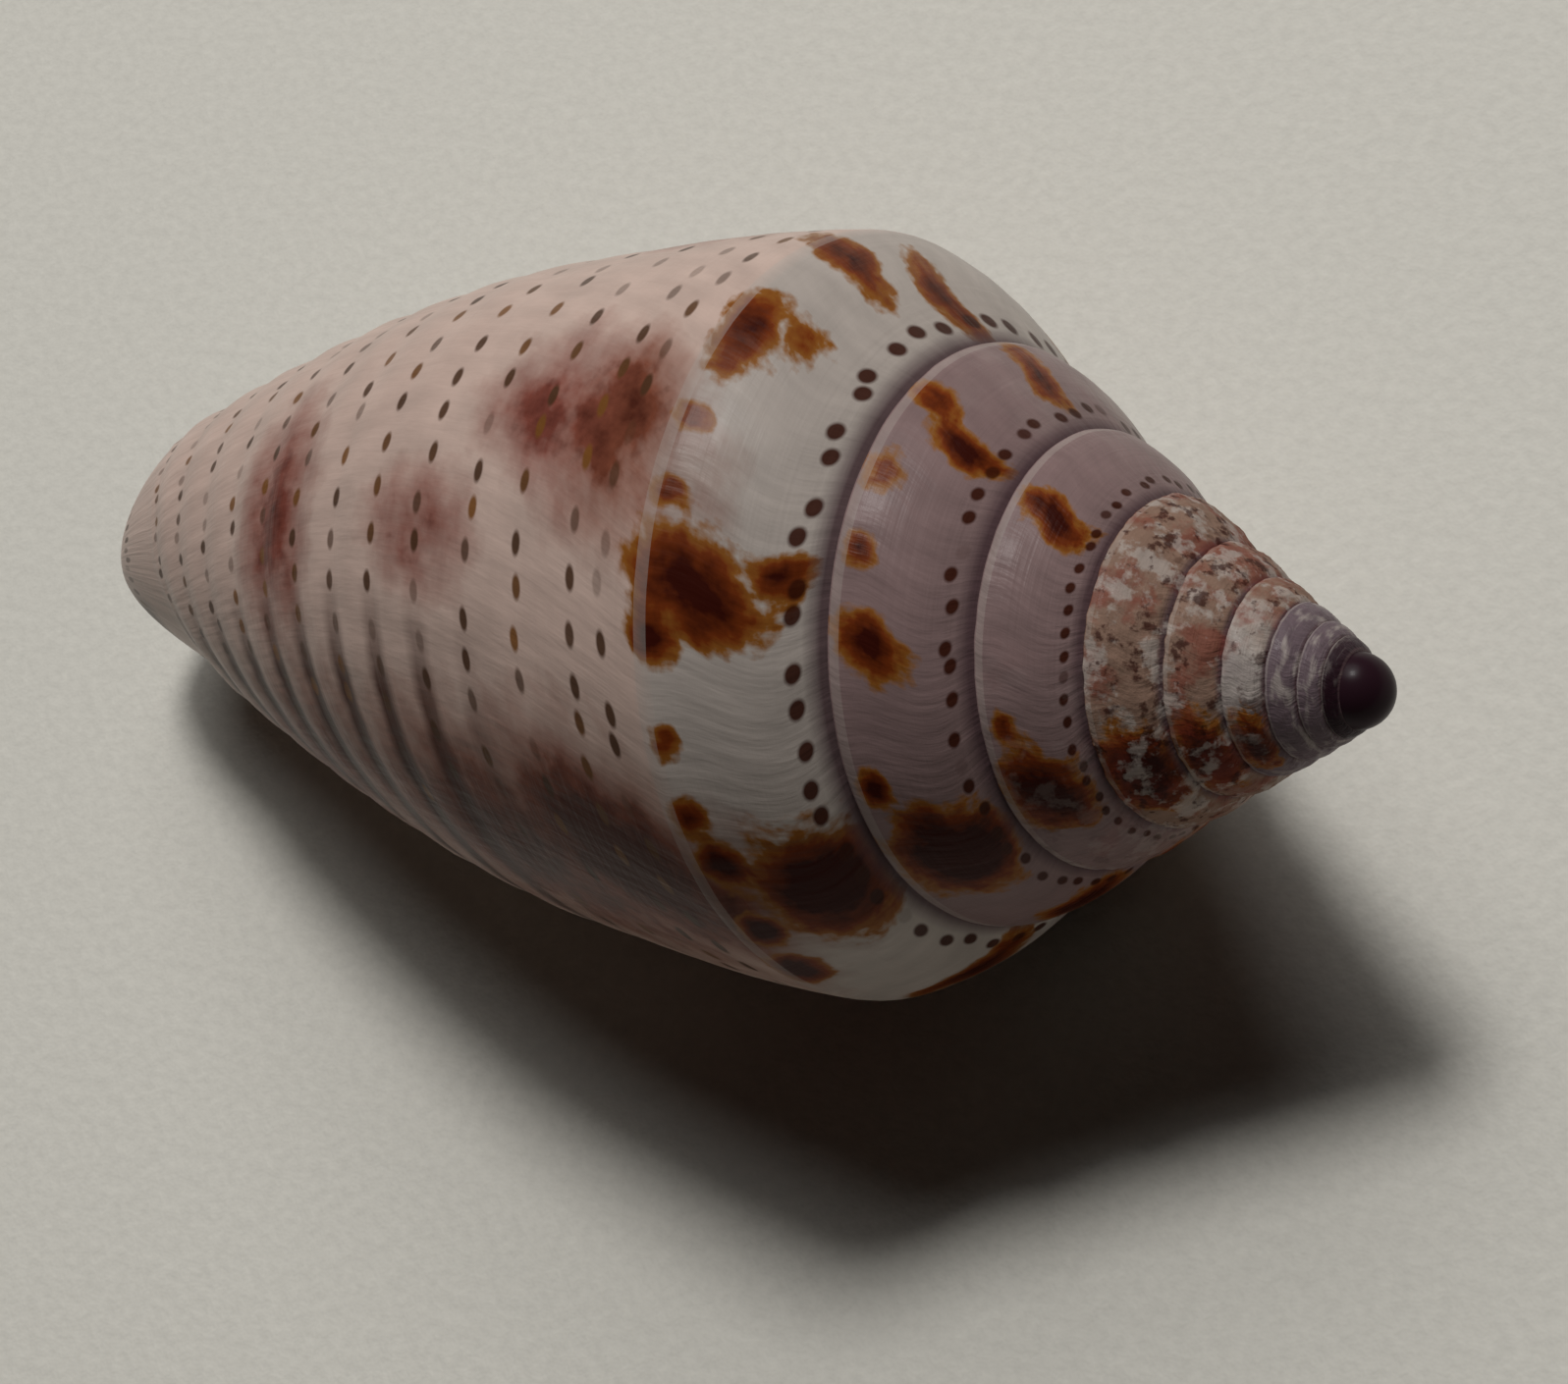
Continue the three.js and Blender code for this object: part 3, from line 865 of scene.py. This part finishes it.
def outside_material(sizes, colours):
    """Glazed aragonite, as the animal laid it down and the sea polished it: a porcelain body under a thin
    clear layer, which gives broad soft highlights broken by growth lines."""
    material, tree = new_material("glossy shell glaze")
    shader = tree.nodes["Principled BSDF"]
    turn, along, point = growth_places(tree)
    tint, age = ground(tree, colours, turn, along, point)
    tint = clouds(tree, colours, turn, along, point, tint)
    tint = stripes(tree, sizes, colours, turn, along, tint)
    tint = dashes(tree, sizes, colours, turn, along, tint)
    tint = stains(tree, colours, turn, along, tint)
    tint = suture_dots(tree, colours, turn, along, tint)
    # The grooves get painted shade and the keels a painted highlight.
    tint = groove(tree, colours, along, tint)
    tint, worn, pits = chalk(tree, colours, age, turn, along, point, tint)
    mottle = grain(tree, turn, along, 60.0, 1.0, 6.0)
    shade = add(tree, RANGE, {0: mottle, 1: 0.3, 2: 0.7, 3: 0.86, 4: 1.06})
    tint = add(tree, VECTOR, {0: tint, "Scale": shade}, operation="SCALE")
    height = surface_height(tree, turn, along, pits, worn)
    normal = add(tree, "ShaderNodeBump", {"Strength": 0.5, "Distance": 0.03 * MM, "Height": height})
    rough = add(tree, RANGE, {0: worn, 1: 0.0, 2: 1.0, 3: 0.33, 4: 0.62})
    tree.links.new(tint, shader.inputs["Base Color"])
    tree.links.new(normal, shader.inputs["Normal"])
    tree.links.new(rough, shader.inputs["Roughness"])
    shader.inputs["IOR"].default_value = 1.53
    shader.inputs["Specular IOR Level"].default_value = 0.07
    shader.inputs["Coat Weight"].default_value = 0.02
    shader.inputs["Coat Roughness"].default_value = 0.1
    return material


def inside_material(colours):
    """Porcelain: the smooth white to violet lining of the aperture, and the lip's broken edge."""
    material, tree = new_material("porcelain lining")
    shader = tree.nodes["Principled BSDF"]
    turn, along, point = growth_places(tree)
    mist = add(tree, NOISE, {"Vector": point, "Scale": 0.5, "Detail": 3.0})
    share = add(tree, RANGE, {0: mist, 1: 0.35, 2: 0.7, 4: 0.5})
    tint = add(tree, MIX, {0: share, 6: rgba(colours.inside), 7: rgba(colours.violet)}, 2, data_type="RGBA")
    tree.links.new(tint, shader.inputs["Base Color"])
    lines = grain(tree, turn, along, 120.0, 0.6, 1.0)
    normal = add(tree, "ShaderNodeBump", {"Strength": 0.3, "Distance": 0.02 * MM, "Height": lines})
    tree.links.new(normal, shader.inputs["Normal"])
    shader.inputs["Roughness"].default_value = 0.25
    shader.inputs["IOR"].default_value = 1.53
    return material


def floor_material(colours):
    """Uncoated card: matt, with a fine tooth of about a fifth of a millimetre."""
    material, tree = new_material("pale matt card")
    shader = tree.nodes["Principled BSDF"]
    point = add(tree, "ShaderNodeTexCoord", {}, "Object")
    tooth = add(tree, NOISE, {"Vector": point, "Scale": 5.5 / MM, "Detail": 2.0, "Roughness": 0.6})
    shade = add(tree, RANGE, {0: tooth, 1: 0.3, 2: 0.7, 3: 0.95, 4: 1.03})
    tint = add(tree, VECTOR, {0: tuple(colours.floor), "Scale": shade}, operation="SCALE")
    normal = add(tree, "ShaderNodeBump", {"Strength": 0.5, "Distance": 0.03 * MM, "Height": tooth})
    tree.links.new(tint, shader.inputs["Base Color"])
    tree.links.new(normal, shader.inputs["Normal"])
    shader.inputs["Roughness"].default_value = 0.9
    return material


class SHELL_OT_grow(bpy.types.Operator):
    """Grow the shell: wind it, close its tip, hollow it out, lay it down and colour it"""

    bl_idname = "cone_shell.grow"
    bl_label = "Grow Shell"

    def execute(self, context):
        sizes, colours = context.scene.shell_sizes, context.scene.shell_colours
        materials = [outside_material(sizes, colours), inside_material(colours)]
        shell = new_object(PIECE, wind_outside(sizes), materials)
        combine(shell, new_object("nucleus", nucleus(sizes), materials), "UNION")
        combine(shell, new_object("hollow", wind_hollow(sizes), materials), "DIFFERENCE")
        if not shell.data.polygons:
            raise RuntimeError("the shell came out empty")
        put_in_place(sizes, shell.data)
        mark_spots(shell.data, "stains", STAINS)
        mark_spots(shell.data, "clouds", CLOUDS)
        shell.data.shade_smooth()
        shell.data.set_sharp_from_angle(angle=math.radians(55))
        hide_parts("shell")
        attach(shell, "root")
        return {"FINISHED"}


def add_floor(stage, colours):
    """The pale card that the shell lies on."""
    bm = bmesh.new()
    bmesh.ops.create_grid(bm, x_segments=1, y_segments=1, size=stage.floor_size)
    new_object("floor", bm, [floor_material(colours)])


def add_camera(scene, stage):
    """Sets the camera, and returns the way its right, its up and its back point."""
    around, above = stage.azimuth, stage.elevation
    back = Vector((math.sin(around), -math.cos(around), math.tan(above))).normalized()
    turned = (-back).to_track_quat("-Z", "Y").to_matrix() @ Matrix.Rotation(stage.roll, 3, "Z")
    lens = bpy.data.cameras.new("camera")
    lens.lens = stage.focal_length
    lens.sensor_width = 36
    lens.clip_start = 0.001
    camera = bpy.data.objects.new("camera", lens)
    aim = (CAD_BOX[0] + CAD_BOX[1]) / 2 + Vector(stage.aim)
    camera.matrix_world = Matrix.Translation(aim + stage.distance * back) @ turned.to_4x4()
    scene.collection.objects.link(camera)
    scene.camera = camera
    return turned.col


def add_lamp(scene, stage, name, towards, size, level):
    """A round lamp that faces the shell and gives it so many watts per square metre."""
    lamp = bpy.data.lights.new(name, "AREA")
    lamp.shape = "DISK"
    lamp.size = size
    lamp.energy = level * math.pi * stage.lamp_distance**2
    lamp.color = (1.0, 0.995, 0.97)
    made = bpy.data.objects.new(name, lamp)
    place = (CAD_BOX[0] + CAD_BOX[1]) / 2 + towards.normalized() * stage.lamp_distance
    turned = towards.to_track_quat("Z", "Y").to_matrix().to_4x4()
    made.matrix_world = Matrix.Translation(place) @ turned
    scene.collection.objects.link(made)


def add_room_light(scene, stage):
    """Weak warm light from all round, as from the walls of a room."""
    world = bpy.data.worlds.new("soft room light")
    world.use_nodes = True
    background = world.node_tree.nodes["Background"]
    background.inputs["Color"].default_value = (1.0, 0.93, 0.86, 1)
    background.inputs["Strength"].default_value = stage.room_level
    scene.world = world


class SHELL_OT_stage(bpy.types.Operator):
    """Set up the floor, the camera and the lights"""

    bl_idname = "cone_shell.stage"
    bl_label = "Set Stage"

    def execute(self, context):
        scene = context.scene
        stage = scene.shell_stage
        add_floor(stage, scene.shell_colours)
        right, up, back = add_camera(scene, stage)
        from_above = -0.24 * right + 0.777 * up + 0.58 * back
        from_behind = -0.3 * right + 0.86 * up + 0.41 * back
        add_lamp(scene, stage, "key", from_above, stage.key_size, stage.key_level)
        add_lamp(scene, stage, "soft", from_behind, stage.soft_size, stage.soft_level)
        add_room_light(scene, stage)
        scene.view_settings.view_transform = "Standard"
        return {"FINISHED"}


class SHELL_PT_panel(bpy.types.Panel):
    """Sizes, colours and buttons of the cone shell"""

    bl_label = "Cone Shell"
    bl_idname = "SHELL_PT_panel"
    bl_space_type = "VIEW_3D"
    bl_region_type = "UI"
    bl_category = "Cone Shell"

    def draw(self, context):
        scene = context.scene
        for group in (scene.shell_sizes, scene.shell_colours, scene.shell_stage):
            box = self.layout.box()
            for name in type(group).__annotations__:
                box.prop(group, name)
        for operator in (SHELL_OT_grow, SHELL_OT_stage):
            self.layout.operator(operator.bl_idname)


CLASSES = (ShellSizes, ShellColours, StageSizes, SHELL_OT_grow, SHELL_OT_stage, SHELL_PT_panel)
GROUPS = {"shell_sizes": ShellSizes, "shell_colours": ShellColours, "shell_stage": StageSizes}


def register():
    for cls in CLASSES:
        bpy.utils.register_class(cls)
    for name, group in GROUPS.items():
        setattr(bpy.types.Scene, name, PointerProperty(type=group))


def unregister():
    for name in GROUPS:
        delattr(bpy.types.Scene, name)
    for cls in reversed(CLASSES):
        bpy.utils.unregister_class(cls)


def main():
    register()
    bpy.ops.cone_shell.grow()
    bpy.ops.cone_shell.stage()


if __name__ == "__main__":
    main()
